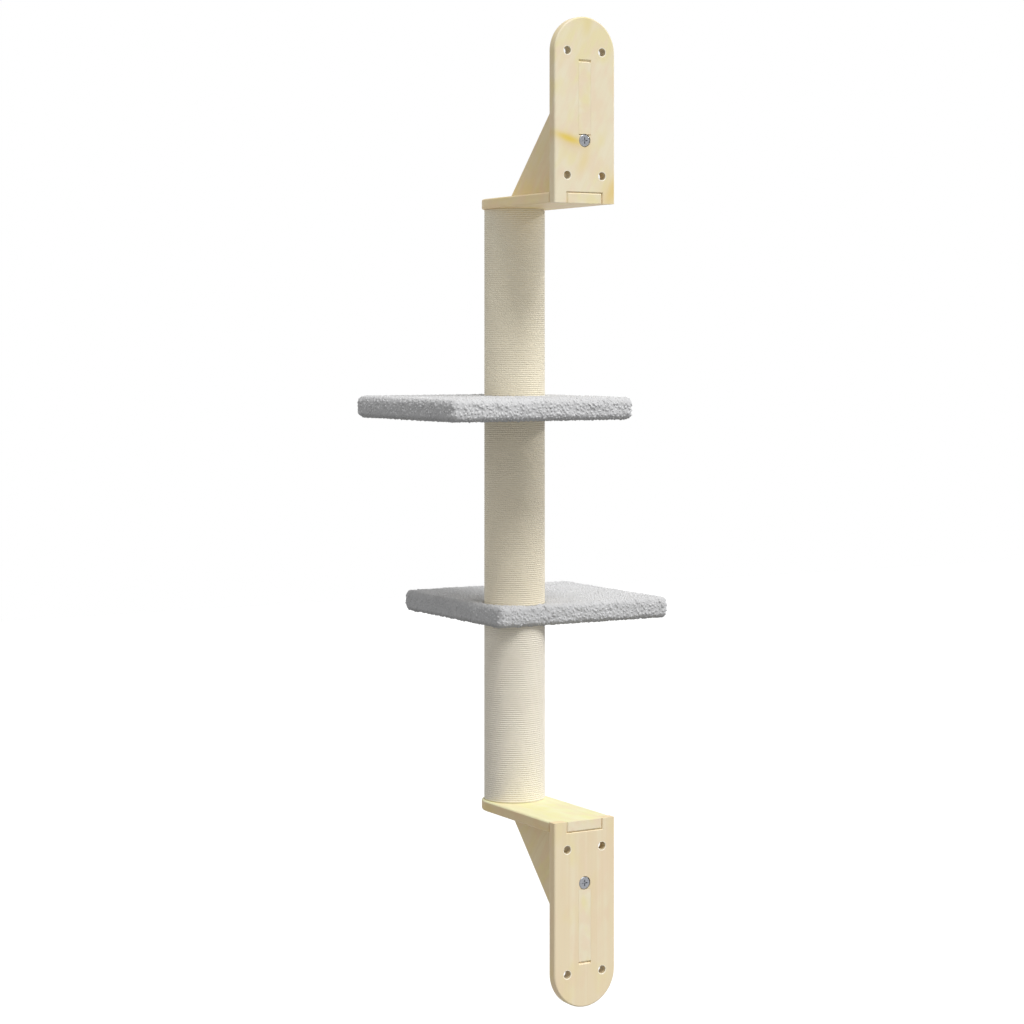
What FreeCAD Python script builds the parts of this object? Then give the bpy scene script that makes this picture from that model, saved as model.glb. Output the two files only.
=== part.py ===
import FreeCAD, Part
import math
import os

# Wall mounted cat tree: two pine brackets on the wall hold a cord-wound post between their arms,
# and two plush covered platforms are clamped between the post's three sections.
# Millimetres. +Z is up, the wall is the plane Y = 0, and the object stands out towards -Y.
# The origin is the centre of the lower wall plate's four screw holes, on the wall.

# Wall plates
PLATE_WIDTH = 80.0
PLATE_LENGTH = 210.0
PLATE_THICKNESS = 12.0
SCREW_HOLE_DIAMETER = 9.0
SCREW_HOLE_CHAMFER = 0.45
SCREW_SPACING_X = 46.0
SCREW_SPACING_Z = 140.0
SCREW_END_DISTANCE = 39.0       # from the half-round end to the nearer pair of holes
PLATE_EDGE_RADIUS = 2.0
TAB_EASE = 1.8                  # chamfers at the back: round the tab's end
NOTCH_EASE = 0.8                # round the notch that the tab fills
TENON_EASE = 1.8                # across the tenon's far end and the slot's
UPPER_SLOT_EASE = 1.8           # across the slot's end beside the bolt, on each plate
LOWER_SLOT_EASE = 0.0

# Arms
ARM_THICKNESS = 12.0
ARM_TAB_WIDTH = 47.0
ARM_EDGE_RADIUS = 2.0
ARM_LENGTH = 193.5              # from the wall to the half-round end
POST_WALL_DISTANCE = 156.0      # from the wall to the post's axis

# Braces
BRACE_THICKNESS = 16.0
BRACE_REACH = 140.5             # along the arm, from the plate's front face
BRACE_HEIGHT = 148.0            # along the plate, from the arm's outer face
BRACE_TOE = 2.0
BRACE_EDGE_RADIUS = 1.0

# Brace bolts and their threaded inserts
BRACE_BOLT_END_DISTANCE = 139.5     # from the plate's half-round end
BRACE_BOLT_DIAMETER = 6.0
BRACE_BOLT_LENGTH = 44.0            # under the head
BRACE_BOLT_HEAD_DIAMETER = 14.5
BRACE_BOLT_HEAD_HEIGHT = 2.6
BOLT_HEAD_ROUNDING = 1.6            # round the rim of every bolt's head
TENON_BOLT_OFFSET = 7.0             # from the bolt's axis to the near end of the brace's tenon
INSERT_DIAMETER = 9.0
INSERT_LENGTH = 15.0

# Dowels between a brace and its arm
DOWEL_DIAMETER = 8.0
DOWEL_IN_ARM = 9.0
DOWEL_IN_BRACE = 20.0
DOWEL_FIRST_DISTANCE = 30.0     # from the plate's front face
DOWEL_SPACING = 50.0

# Post sections, from the lowest to the highest
LOWER_SECTION_LENGTH = 211.0
MIDDLE_SECTION_LENGTH = 228.0
UPPER_SECTION_LENGTH = 224.0
POST_DIAMETER = 72.0            # over the cord
CORE_WALL = 4.4
PLUG_THICKNESS = 18.0

# Cord on the post
CORD_DIAMETER = 2.0
CORD_TURN_GAP = 0.45            # between one turn and the next
WOUND_TURNS = 24                # turns shown one by one at the foot of each section
CORD_END_MARGIN = 0.5           # bare core below the first turn and above the last

# Tee nuts, post bolts and platform studs
STUD_DIAMETER = 8.0
TEE_BARREL_DIAMETER = 10.0
TEE_BARREL_LENGTH = 10.0
TEE_FLANGE_DIAMETER = 22.0
TEE_FLANGE_THICKNESS = 1.5
STUD_PAST_NUT = 3.0             # how far a stud or a bolt stands past its tee nut
POST_BOLT_HEAD_DIAMETER = 15.0
POST_BOLT_HEAD_HEIGHT = 2.6

# Platforms
BOARD_WIDTH = 226.0
BOARD_DEPTH = 226.0
BOARD_THICKNESS = 16.0
BOARD_CORNER_RADIUS = 4.0
PLUSH_ON_FACES = 4.5
PLUSH_ON_EDGES = 5.0
PLUSH_EDGE_RADIUS = 8.0
UPPER_POST_TO_BOARD_SIDE = 64.0     # from the post's axis to the board's edge at -X
UPPER_POST_TO_BOARD_FRONT = 79.5    # from the post's axis to the board's edge at -Y
LOWER_POST_TO_BOARD_SIDE = 41.0     # from the post's axis to the board's edge at +X
LOWER_POST_TO_BOARD_BACK = 38.0     # from the post's axis to the board's edge at +Y

# Cross recess in the bolt heads
RECESS_WIDTH = 1.3
RECESS_SHARE = 0.5              # of the head's diameter
RECESS_DEPTH = 1.6

# Fits
JOINT_CLEARANCE = 0.1           # each side, wood in wood
BOLT_CLEARANCE = 0.3            # each side, round a bolt in its hole
THREAD_CLEARANCE = 0.1          # each side, in a nut or an insert
HEAD_CLEARANCE = 0.3            # each side, round a sunk bolt head
HEAD_DEPTH_CLEARANCE = 0.2      # a sunk head lies this far under the surface
PLUSH_CLEARANCE = 0.4           # round the post where it passes through the plush
CORD_SEAT = 0.1                 # between the cord and the core
HOLE_BOTTOM_CLEARANCE = 1.0     # past the end of a dowel or a bolt in a blind hole

# Places that follow from the sizes
PITCH = CORD_DIAMETER + CORD_TURN_GAP
CORE_RADIUS = POST_DIAMETER / 2 - CORD_DIAMETER - CORD_SEAT
CORE_BORE_RADIUS = CORE_RADIUS - CORE_WALL
LOWER_ARM_FACE_Z = PLATE_LENGTH - SCREW_END_DISTANCE - SCREW_SPACING_Z / 2
LOWER_BOARD_Z = LOWER_ARM_FACE_Z + LOWER_SECTION_LENGTH
MIDDLE_SECTION_Z = LOWER_BOARD_Z + BOARD_THICKNESS
UPPER_BOARD_Z = MIDDLE_SECTION_Z + MIDDLE_SECTION_LENGTH
UPPER_SECTION_Z = UPPER_BOARD_Z + BOARD_THICKNESS
UPPER_ARM_FACE_Z = UPPER_SECTION_Z + UPPER_SECTION_LENGTH
TENON_START = PLATE_LENGTH - BRACE_BOLT_END_DISTANCE - ARM_THICKNESS + TENON_BOLT_OFFSET
POST_AXIS = FreeCAD.Vector(0, -POST_WALL_DISTANCE, 0)

X = FreeCAD.Vector(1, 0, 0)
Y = FreeCAD.Vector(0, 1, 0)
Z = FreeCAD.Vector(0, 0, 1)


def vec(x, y, z):
    return FreeCAD.Vector(x, y, z)


def save(name, *solids):
    """Write one or more separate solids as one named node."""
    for solid in solids:
        if not solid.isValid():
            print("invalid solid in", name)
    shape = solids[0] if len(solids) == 1 else Part.makeCompound(list(solids))
    shape.exportStep(os.path.join("parts", name + ".step"))
    print(name, len(shape.Solids), "solid(s), volume", round(shape.Volume))


def extruded(points, direction):
    """A prism on a closed outline of straight edges."""
    wire = Part.makePolygon(points + [points[0]])
    return Part.Face(wire).extrude(direction)


def rounded_along(solid, direction, radius):
    """Fillet the straight edges that run along a direction."""
    edges = []
    for edge in solid.Edges:
        straight = isinstance(edge.Curve, Part.Line)
        if straight and abs(edge.tangentAt(edge.FirstParameter).dot(direction)) > 0.999:
            edges.append(edge)
    return solid.makeFillet(radius, edges)


def edges_where(solid, test):
    return [edge for edge in solid.Edges if test(edge.CenterOfMass, edge.BoundBox)]


# Brackets. Each is made in its own frame and then placed: local Z = 0 is the arm's face that meets
# the post, the plate's square end is there too, and the half-round end is at +Z.

def plate_outline_solid():
    half = PLATE_WIDTH / 2
    straight = PLATE_LENGTH - half
    left = Part.LineSegment(vec(-half, 0, 0), vec(-half, 0, straight)).toShape()
    dome = Part.Arc(vec(-half, 0, straight), vec(0, 0, PLATE_LENGTH), vec(half, 0, straight)).toShape()
    right = Part.LineSegment(vec(half, 0, straight), vec(half, 0, 0)).toShape()
    foot = Part.LineSegment(vec(half, 0, 0), vec(-half, 0, 0)).toShape()
    face = Part.Face(Part.Wire([left, dome, right, foot]))
    solid = face.extrude(vec(0, -PLATE_THICKNESS, 0))
    rims = edges_where(solid, lambda c, b: b.YLength < 1e-6 and c.z > ARM_THICKNESS)
    return solid.makeFillet(PLATE_EDGE_RADIUS, rims)


def screw_hole(x, z):
    radius = SCREW_HOLE_DIAMETER / 2
    wide = radius + SCREW_HOLE_CHAMFER
    bore = Part.makeCylinder(radius, PLATE_THICKNESS, vec(x, 0, z), -Y)
    back_rim = Part.makeCone(wide, radius, SCREW_HOLE_CHAMFER, vec(x, 0, z), -Y)
    front_rim = Part.makeCone(wide, radius, SCREW_HOLE_CHAMFER, vec(x, -PLATE_THICKNESS, z), Y)
    return bore.fuse([back_rim, front_rim])


def head_pocket():
    """Room for the brace bolt's head, sunk in the plate's back and in the tenon's end."""
    radius = BRACE_BOLT_HEAD_DIAMETER / 2 + HEAD_CLEARANCE
    depth = BRACE_BOLT_HEAD_HEIGHT + HEAD_DEPTH_CLEARANCE
    return Part.makeCylinder(radius, depth, vec(0, 0, PLATE_LENGTH - BRACE_BOLT_END_DISTANCE), -Y)


def rectangle_on_back(half_width, bottom, top, y):
    return Part.makePolygon([vec(-half_width, y, bottom), vec(half_width, y, bottom),
                             vec(half_width, y, top), vec(-half_width, y, top), vec(-half_width, y, bottom)])


def cut_out(width, bottom, top, side_ease, bottom_ease, top_ease):
    """Room for a tab or a tenon through the plate, with its rim eased on the back."""
    half = width / 2
    through = Part.makeBox(width, PLATE_THICKNESS, top - bottom, vec(-half, -PLATE_THICKNESS, bottom))
    deep = rectangle_on_back(half, bottom, top, -top_ease)
    wide = rectangle_on_back(half + side_ease, bottom - bottom_ease, top + top_ease, 0)
    return through.fuse(Part.makeLoft([deep, wide], True, True))


def eased_end(solid, ease, chosen):
    """Chamfer the chosen edges of a tab's or a tenon's end, on the plate's back."""
    rim = edges_where(solid, lambda c, b: abs(b.YMax) < 1e-6 and b.YLength < 1e-6 and chosen(c, b))
    return solid.makeChamfer(ease, rim)


def wall_plate(slot_ease):
    plate = plate_outline_solid()
    notch = cut_out(ARM_TAB_WIDTH + 2 * JOINT_CLEARANCE, 0, ARM_THICKNESS + JOINT_CLEARANCE,
                    NOTCH_EASE, 0, NOTCH_EASE)
    slot = cut_out(BRACE_THICKNESS + 2 * JOINT_CLEARANCE,
                   ARM_THICKNESS + TENON_START - JOINT_CLEARANCE,
                   ARM_THICKNESS + BRACE_HEIGHT + JOINT_CLEARANCE, 0, slot_ease, TENON_EASE)
    bolt_z = PLATE_LENGTH - BRACE_BOLT_END_DISTANCE
    bolt_bore = Part.makeCylinder(BRACE_BOLT_DIAMETER / 2 + BOLT_CLEARANCE, PLATE_THICKNESS,
                                  vec(0, 0, bolt_z), -Y)
    cuts = [notch, slot, bolt_bore, head_pocket()]
    for x in (-SCREW_SPACING_X / 2, SCREW_SPACING_X / 2):
        for row in (0, 1):
            cuts.append(screw_hole(x, PLATE_LENGTH - SCREW_END_DISTANCE - row * SCREW_SPACING_Z))
    return plate.cut(cuts)


def arm_blank():
    """The arm's board, half round at the post and narrowed to a tab through the plate."""
    half = PLATE_WIDTH / 2
    tab = ARM_TAB_WIDTH / 2
    end = half - ARM_LENGTH
    front = -PLATE_THICKNESS
    corners = [vec(half, end, 0), vec(half, front, 0), vec(tab, front, 0), vec(tab, 0, 0),
               vec(-tab, 0, 0), vec(-tab, front, 0), vec(-half, front, 0), vec(-half, end, 0)]
    edges = [Part.LineSegment(a, b).toShape() for a, b in zip(corners, corners[1:])]
    edges.append(Part.Arc(corners[-1], vec(0, end - half, 0), corners[0]).toShape())
    board = Part.Face(Part.Wire(edges)).extrude(vec(0, 0, ARM_THICKNESS))
    rims = edges_where(board, lambda c, b: b.ZLength < 1e-6 and c.y < front and b.YLength > PLATE_THICKNESS)
    board = board.makeFillet(ARM_EDGE_RADIUS, rims)
    return eased_end(board, TAB_EASE, lambda c, b: c.z > TAB_EASE)


def dowel_places():
    start = -PLATE_THICKNESS - DOWEL_FIRST_DISTANCE
    return [start, start - DOWEL_SPACING]


def dowel_hole(y):
    """One hole through the joint of arm and brace, deep enough for the dowel and its end room."""
    bottom = ARM_THICKNESS - DOWEL_IN_ARM - JOINT_CLEARANCE
    length = DOWEL_IN_ARM + DOWEL_IN_BRACE + JOINT_CLEARANCE + HOLE_BOTTOM_CLEARANCE
    return Part.makeCylinder(DOWEL_DIAMETER / 2 + JOINT_CLEARANCE, length, vec(0, y, bottom), Z)


def dowel(y):
    length = DOWEL_IN_ARM + DOWEL_IN_BRACE
    body = Part.makeCylinder(DOWEL_DIAMETER / 2, length, vec(0, y, ARM_THICKNESS - DOWEL_IN_ARM), Z)
    ends = edges_where(body, lambda c, b: b.ZLength < 1e-6)
    return body.makeChamfer(DOWEL_DIAMETER / 10, ends)


def arm():
    bore = Part.makeCylinder(STUD_DIAMETER / 2 + BOLT_CLEARANCE, ARM_THICKNESS, POST_AXIS, Z)
    pocket_depth = POST_BOLT_HEAD_HEIGHT + HEAD_DEPTH_CLEARANCE
    pocket = Part.makeCylinder(POST_BOLT_HEAD_DIAMETER / 2 + HEAD_CLEARANCE, pocket_depth,
                               POST_AXIS + Z * (ARM_THICKNESS - pocket_depth), Z)
    return arm_blank().cut([bore, pocket] + [dowel_hole(y) for y in dowel_places()])


def brace():
    """A triangle between arm and plate, whose tenon runs through the plate to its back."""
    left = -BRACE_THICKNESS / 2
    front = -PLATE_THICKNESS
    toe = front - BRACE_REACH
    foot = ARM_THICKNESS
    outline = [vec(left, front, foot), vec(left, toe, foot), vec(left, toe, foot + BRACE_TOE),
               vec(left, front, foot + BRACE_HEIGHT), vec(left, 0, foot + BRACE_HEIGHT),
               vec(left, 0, foot + TENON_START), vec(left, front, foot + TENON_START)]
    body = extruded(outline, vec(BRACE_THICKNESS, 0, 0))
    slope = edges_where(body, lambda c, b: b.XLength < 1e-6 and b.ZLength > BRACE_TOE and b.YLength > 1.0)
    body = body.makeFillet(BRACE_EDGE_RADIUS, slope)
    body = eased_end(body, TENON_EASE, lambda c, b: c.z > foot + BRACE_HEIGHT - TENON_EASE)
    bolt_z = PLATE_LENGTH - BRACE_BOLT_END_DISTANCE
    bolt_room = Part.makeCylinder(BRACE_BOLT_DIAMETER / 2 + BOLT_CLEARANCE,
                                  BRACE_BOLT_HEAD_HEIGHT + BRACE_BOLT_LENGTH + HOLE_BOTTOM_CLEARANCE,
                                  vec(0, 0, bolt_z), -Y)
    insert_room = Part.makeCylinder(INSERT_DIAMETER / 2 + THREAD_CLEARANCE, INSERT_LENGTH,
                                    vec(0, front, bolt_z), -Y)
    cuts = [head_pocket(), bolt_room, insert_room] + [dowel_hole(y) for y in dowel_places()]
    return body.cut(cuts)


def threaded_insert():
    bolt_z = PLATE_LENGTH - BRACE_BOLT_END_DISTANCE
    start = vec(0, -PLATE_THICKNESS, bolt_z)
    outer = Part.makeCylinder(INSERT_DIAMETER / 2, INSERT_LENGTH, start, -Y)
    return outer.cut(Part.makeCylinder(BRACE_BOLT_DIAMETER / 2 + THREAD_CLEARANCE, INSERT_LENGTH, start, -Y))


def headed_bolt(head_diameter, head_height, shank_diameter, shank_length):
    """A bolt along -Z, its low rounded head's top at Z = 0, with a cross recess."""
    head = Part.makeCylinder(head_diameter / 2, head_height, vec(0, 0, -head_height), Z)
    rim = edges_where(head, lambda c, b: b.ZLength < 1e-6 and c.z > -head_height / 2)
    head = head.makeFillet(BOLT_HEAD_ROUNDING, rim)
    shank = Part.makeCylinder(shank_diameter / 2, shank_length, vec(0, 0, -head_height - shank_length), Z)
    tip = edges_where(shank, lambda c, b: b.ZLength < 1e-6 and c.z < -head_height - shank_length / 2)
    shank = shank.makeChamfer(shank_diameter / 8, tip)
    reach = head_diameter * RECESS_SHARE
    slot_x = Part.makeBox(reach, RECESS_WIDTH, RECESS_DEPTH, vec(-reach / 2, -RECESS_WIDTH / 2, -RECESS_DEPTH))
    slot_y = Part.makeBox(RECESS_WIDTH, reach, RECESS_DEPTH, vec(-RECESS_WIDTH / 2, -reach / 2, -RECESS_DEPTH))
    return head.fuse(shank).cut([slot_x, slot_y]).removeSplitter()


def brace_bolt():
    bolt = headed_bolt(BRACE_BOLT_HEAD_DIAMETER, BRACE_BOLT_HEAD_HEIGHT, BRACE_BOLT_DIAMETER, BRACE_BOLT_LENGTH)
    bolt.rotate(vec(0, 0, 0), X, -90)
    bolt.translate(vec(0, -HEAD_DEPTH_CLEARANCE, PLATE_LENGTH - BRACE_BOLT_END_DISTANCE))
    return bolt


def post_bolt():
    length = (ARM_THICKNESS - HEAD_DEPTH_CLEARANCE - POST_BOLT_HEAD_HEIGHT
              + PLUG_THICKNESS + TEE_FLANGE_THICKNESS + STUD_PAST_NUT)
    bolt = headed_bolt(POST_BOLT_HEAD_DIAMETER, POST_BOLT_HEAD_HEIGHT, STUD_DIAMETER, length)
    bolt.translate(POST_AXIS + Z * (ARM_THICKNESS - HEAD_DEPTH_CLEARANCE))
    return bolt


def upper(shape):
    """Place a bracket piece on the upper arm's face."""
    placed = shape.copy()
    placed.translate(Z * UPPER_ARM_FACE_Z)
    return placed


def lower(shape):
    """Turn a bracket piece upside down, keeping it on the wall, and place it on the lower arm's face."""
    placed = shape.mirror(vec(0, 0, 0), Z)
    placed.translate(Z * LOWER_ARM_FACE_Z)
    return placed


# Post sections

def core_tube(z, length):
    outer = Part.makeCylinder(CORE_RADIUS, length, POST_AXIS + Z * z, Z)
    return outer.cut(Part.makeCylinder(CORE_BORE_RADIUS, length, POST_AXIS + Z * z, Z))


def plug(z):
    """A disc in the tube's end, from z upwards, bored for its tee nut and a bolt or stud."""
    disc = Part.makeCylinder(CORE_BORE_RADIUS - JOINT_CLEARANCE, PLUG_THICKNESS, POST_AXIS + Z * z, Z)
    bore = Part.makeCylinder(TEE_BARREL_DIAMETER / 2 + JOINT_CLEARANCE, PLUG_THICKNESS, POST_AXIS + Z * z, Z)
    return disc.cut(bore)


def tee_nut(z, side):
    """A nut whose flange bears on a plug's inner face at z; its barrel goes into the plug, to that side."""
    flange = Part.makeCylinder(TEE_FLANGE_DIAMETER / 2, TEE_FLANGE_THICKNESS, POST_AXIS + Z * z, Z * -side)
    barrel = Part.makeCylinder(TEE_BARREL_DIAMETER / 2, TEE_BARREL_LENGTH, POST_AXIS + Z * z, Z * side)
    depth = TEE_FLANGE_THICKNESS + TEE_BARREL_LENGTH
    thread = Part.makeCylinder(STUD_DIAMETER / 2 + THREAD_CLEARANCE, depth,
                               POST_AXIS + Z * (z - side * TEE_FLANGE_THICKNESS), Z * side)
    return flange.fuse(barrel).cut(thread).removeSplitter()


def section_tee_nuts(z, length):
    return [tee_nut(z + PLUG_THICKNESS, -1), tee_nut(z + length - PLUG_THICKNESS, 1)]


def platform_stud(board_z):
    past = PLUG_THICKNESS + TEE_FLANGE_THICKNESS + STUD_PAST_NUT
    length = BOARD_THICKNESS + 2 * past
    rod = Part.makeCylinder(STUD_DIAMETER / 2, length, POST_AXIS + Z * (board_z - past), Z)
    ends = edges_where(rod, lambda c, b: b.ZLength < 1e-6)
    return rod.makeChamfer(STUD_DIAMETER / 10, ends)


# Cord: one unbroken tube, wound on the core as a helix of half turns, each half turn a pair of arcs

def helix_point(turn, radius, z):
    angle = 2 * math.pi * turn
    return POST_AXIS + vec(radius * math.cos(angle), radius * math.sin(angle), z + PITCH * turn)


def helix_direction(turn, radius):
    angle = 2 * math.pi * turn
    rise = PITCH / (2 * math.pi)
    return vec(-radius * math.sin(angle), radius * math.cos(angle), rise).normalize()


def tangent_arc(start, direction, end):
    """The arc that leaves start along a direction and reaches end."""
    chord = end - start
    length = chord.Length
    along = chord * (1 / length)
    aside = (direction - along * direction.dot(along)).normalize()
    half_turn = math.acos(max(-1.0, min(1.0, direction.dot(along)))) / 2
    middle = start + along * (length / 2) + aside * (length / 2 * math.tan(half_turn))
    return Part.Arc(start, middle, end).toShape()


def biarc(start, start_direction, end, end_direction):
    """Two arcs that meet smoothly between two points with given directions."""
    across = end - start
    both = start_direction + end_direction
    a = both.dot(both) - 4
    b = -2 * across.dot(both)
    c = across.dot(across)
    reach = (-b - math.sqrt(b * b - 4 * a * c)) / (2 * a)
    joint = (start + start_direction * reach + end - end_direction * reach) * 0.5
    second = tangent_arc(end, end_direction * -1, joint)
    return [tangent_arc(start, start_direction, joint), second]


def wound_cord(z):
    """The lowest turns of one section's cord, with a straight run of one diameter at each end."""
    radius = CORE_RADIUS + CORD_SEAT + CORD_DIAMETER / 2
    bottom = z + CORD_END_MARGIN + CORD_DIAMETER / 2
    edges = []
    first = helix_point(0, radius, bottom)
    first_direction = helix_direction(0, radius)
    start = first - first_direction * CORD_DIAMETER
    edges.append(Part.LineSegment(start, first).toShape())
    for step in range(2 * WOUND_TURNS):
        a = step / 2
        b = (step + 1) / 2
        edges += biarc(helix_point(a, radius, bottom), helix_direction(a, radius),
                       helix_point(b, radius, bottom), helix_direction(b, radius))
    last = helix_point(WOUND_TURNS, radius, bottom)
    last_direction = helix_direction(WOUND_TURNS, radius)
    edges.append(Part.LineSegment(last, last + last_direction * CORD_DIAMETER).toShape())
    path = Part.Wire(Part.__sortEdges__(edges))
    section = Part.Wire(Part.makeCircle(CORD_DIAMETER / 2, start, first_direction))
    return path, path.makePipeShell([section], True, False)


def least_gap(path):
    """The least gap between the cord and the next turns of itself, measured on points along its path."""
    per_turn = 48
    points = path.discretize(WOUND_TURNS * per_turn + 1)
    least = min((points[i + k] - points[i]).Length
                for i in range(len(points)) for k in range(per_turn // 2, 2 * per_turn)
                if i + k < len(points))
    return least - CORD_DIAMETER


def cord_sleeve(z, length):
    """The rest of the section's turns, as a plain sleeve of the same outer size."""
    foot = z + CORD_END_MARGIN + CORD_DIAMETER + WOUND_TURNS * PITCH + CORD_TURN_GAP
    top = z + length - CORD_END_MARGIN
    outer = Part.makeCylinder(POST_DIAMETER / 2, top - foot, POST_AXIS + Z * foot, Z)
    return outer.cut(Part.makeCylinder(CORE_RADIUS, top - foot, POST_AXIS + Z * foot, Z))


# Platforms

def board(x0, y0, z):
    blank = Part.makeBox(BOARD_WIDTH, BOARD_DEPTH, BOARD_THICKNESS, vec(x0, y0, z))
    blank = rounded_along(blank, Z, BOARD_CORNER_RADIUS)
    bore = Part.makeCylinder(STUD_DIAMETER / 2 + BOLT_CLEARANCE, BOARD_THICKNESS, POST_AXIS + Z * z, Z)
    return blank, blank.cut(bore)


def plush_cover(board_blank, x0, y0, z):
    """Plush all round a board, with a round opening above and below for the post."""
    outer = Part.makeBox(BOARD_WIDTH + 2 * PLUSH_ON_EDGES, BOARD_DEPTH + 2 * PLUSH_ON_EDGES,
                         BOARD_THICKNESS + 2 * PLUSH_ON_FACES,
                         vec(x0 - PLUSH_ON_EDGES, y0 - PLUSH_ON_EDGES, z - PLUSH_ON_FACES))
    outer = rounded_along(outer, Z, BOARD_CORNER_RADIUS + PLUSH_ON_EDGES)
    rims = edges_where(outer, lambda c, b: b.ZLength < 1e-6)
    outer = outer.makeFillet(PLUSH_EDGE_RADIUS, rims)
    opening = Part.makeCylinder(POST_DIAMETER / 2 + PLUSH_CLEARANCE, BOARD_THICKNESS + 2 * PLUSH_ON_FACES,
                                POST_AXIS + Z * (z - PLUSH_ON_FACES), Z)
    return outer.cut([board_blank, opening])


def main():
    os.makedirs("parts", exist_ok=True)

    sides = {"upper": upper, "lower": lower}
    slot_eases = {"upper": UPPER_SLOT_EASE, "lower": LOWER_SLOT_EASE}
    for side, place in sides.items():
        save(side + "_wall_plate", place(wall_plate(slot_eases[side])))
        save(side + "_arm", place(arm()))
        save(side + "_brace", place(brace()))
    save("brace_dowels", *[place(dowel(y)) for place in sides.values() for y in dowel_places()])
    save("brace_bolts", *[place(brace_bolt()) for place in sides.values()])
    save("brace_inserts", *[place(threaded_insert()) for place in sides.values()])
    save("post_bolts", *[place(post_bolt()) for place in sides.values()])

    sections = {"lower": (LOWER_ARM_FACE_Z, LOWER_SECTION_LENGTH),
                "middle": (MIDDLE_SECTION_Z, MIDDLE_SECTION_LENGTH),
                "upper": (UPPER_SECTION_Z, UPPER_SECTION_LENGTH)}
    tee_nuts = []
    for name, (z, length) in sections.items():
        save(name + "_post_core", core_tube(z, length))
        save(name + "_post_bottom_plug", plug(z))
        save(name + "_post_top_plug", plug(z + length - PLUG_THICKNESS))
        path, cord = wound_cord(z)
        print(name, "cord's least gap to itself", round(least_gap(path), 3))
        save(name + "_post_cord", cord, cord_sleeve(z, length))
        tee_nuts += section_tee_nuts(z, length)
    save("tee_nuts", *tee_nuts)
    save("platform_studs", platform_stud(LOWER_BOARD_Z), platform_stud(UPPER_BOARD_Z))

    upper_x = -UPPER_POST_TO_BOARD_SIDE
    upper_y = -POST_WALL_DISTANCE - UPPER_POST_TO_BOARD_FRONT
    lower_x = LOWER_POST_TO_BOARD_SIDE - BOARD_WIDTH
    lower_y = -POST_WALL_DISTANCE + LOWER_POST_TO_BOARD_BACK - BOARD_DEPTH
    for name, x0, y0, z in (("upper", upper_x, upper_y, UPPER_BOARD_Z), ("lower", lower_x, lower_y, LOWER_BOARD_Z)):
        blank, drilled = board(x0, y0, z)
        save(name + "_platform_board", drilled)
        save(name + "_platform_cover", plush_cover(blank, x0, y0, z))


main()
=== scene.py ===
import math

import bmesh
import bpy
from mathutils import Euler, Matrix, Vector


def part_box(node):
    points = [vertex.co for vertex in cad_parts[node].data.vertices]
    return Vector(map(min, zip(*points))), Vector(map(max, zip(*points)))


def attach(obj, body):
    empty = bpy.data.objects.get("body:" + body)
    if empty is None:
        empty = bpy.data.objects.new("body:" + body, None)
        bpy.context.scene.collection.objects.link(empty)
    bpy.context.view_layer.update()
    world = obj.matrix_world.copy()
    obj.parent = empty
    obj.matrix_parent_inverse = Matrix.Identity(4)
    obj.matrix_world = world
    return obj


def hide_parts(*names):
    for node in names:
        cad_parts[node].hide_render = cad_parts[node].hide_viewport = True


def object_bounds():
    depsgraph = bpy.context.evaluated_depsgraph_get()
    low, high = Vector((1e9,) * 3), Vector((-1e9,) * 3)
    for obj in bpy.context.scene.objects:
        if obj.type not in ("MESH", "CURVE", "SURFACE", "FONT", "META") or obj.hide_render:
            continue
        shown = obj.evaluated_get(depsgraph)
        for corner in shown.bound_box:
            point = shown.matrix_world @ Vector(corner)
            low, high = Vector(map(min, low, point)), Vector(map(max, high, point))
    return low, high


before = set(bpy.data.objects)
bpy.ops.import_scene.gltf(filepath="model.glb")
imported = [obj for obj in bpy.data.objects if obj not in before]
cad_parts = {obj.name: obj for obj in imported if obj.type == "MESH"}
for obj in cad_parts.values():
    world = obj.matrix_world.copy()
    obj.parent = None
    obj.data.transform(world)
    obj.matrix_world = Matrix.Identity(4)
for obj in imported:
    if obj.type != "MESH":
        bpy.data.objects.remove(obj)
cad_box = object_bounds()


# ---------------------------------------------------------------------------------------------
# Pine boards: wall plates, arms and braces.
# Planed pale pine, sawn from wide boards, with eased edges and a thin clear satin lacquer.
# The arm's tab and the brace's tenon are glued through the wall plate, flush with its back.
# ---------------------------------------------------------------------------------------------

PINE_EARLY = (0.845, 0.766, 0.567, 1)
PINE_LATE = (0.795, 0.672, 0.456, 1)
PINE_YELLOW = (0.825, 0.735, 0.400, 1)
PINE_ROSE = (0.835, 0.690, 0.505, 1)
PINE_RESIN = (0.790, 0.595, 0.110, 1)
PINE_RESIN_EDGE = (0.800, 0.650, 0.440, 1)
PINE_AMBER = (0.820, 0.685, 0.390, 1)
PINE_HONEY = (0.800, 0.620, 0.270, 1)
PINE_STRAW = (0.800, 0.690, 0.370, 1)
# Painted highlight: the pale ring round each screw hole stands in for light on the hole's rim.
PAINTED_HOLE_HIGHLIGHT = (0.960, 0.920, 0.780, 1)

# Tones multiply a board's colours. The side tones give the sides a deeper colour of their own and also
# paint a warmer shade on them, as they lie in shade.
PLATE_SIDE_COLOUR_AND_PAINTED_SHADE = (1.00, 0.94, 0.86, 1)
LOWER_PLATE_TONE = (1.00, 0.975, 0.955, 1)
# Painted shade inside the screw holes, over the darker end grain of the bores.
BORE_END_GRAIN_AND_PAINTED_SHADE = (0.66, 0.62, 0.52, 1)
UPPER_ARM_TONE = (1.10, 1.01, 0.85, 1)
LOWER_ARM_TONE = (0.98, 1.05, 0.89, 1)
LOWER_ARM_SIDE_COLOUR_AND_PAINTED_SHADE = (0.93, 0.77, 0.73, 1)
BRACE_TONE = (1.02, 0.96, 0.83, 1)

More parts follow.
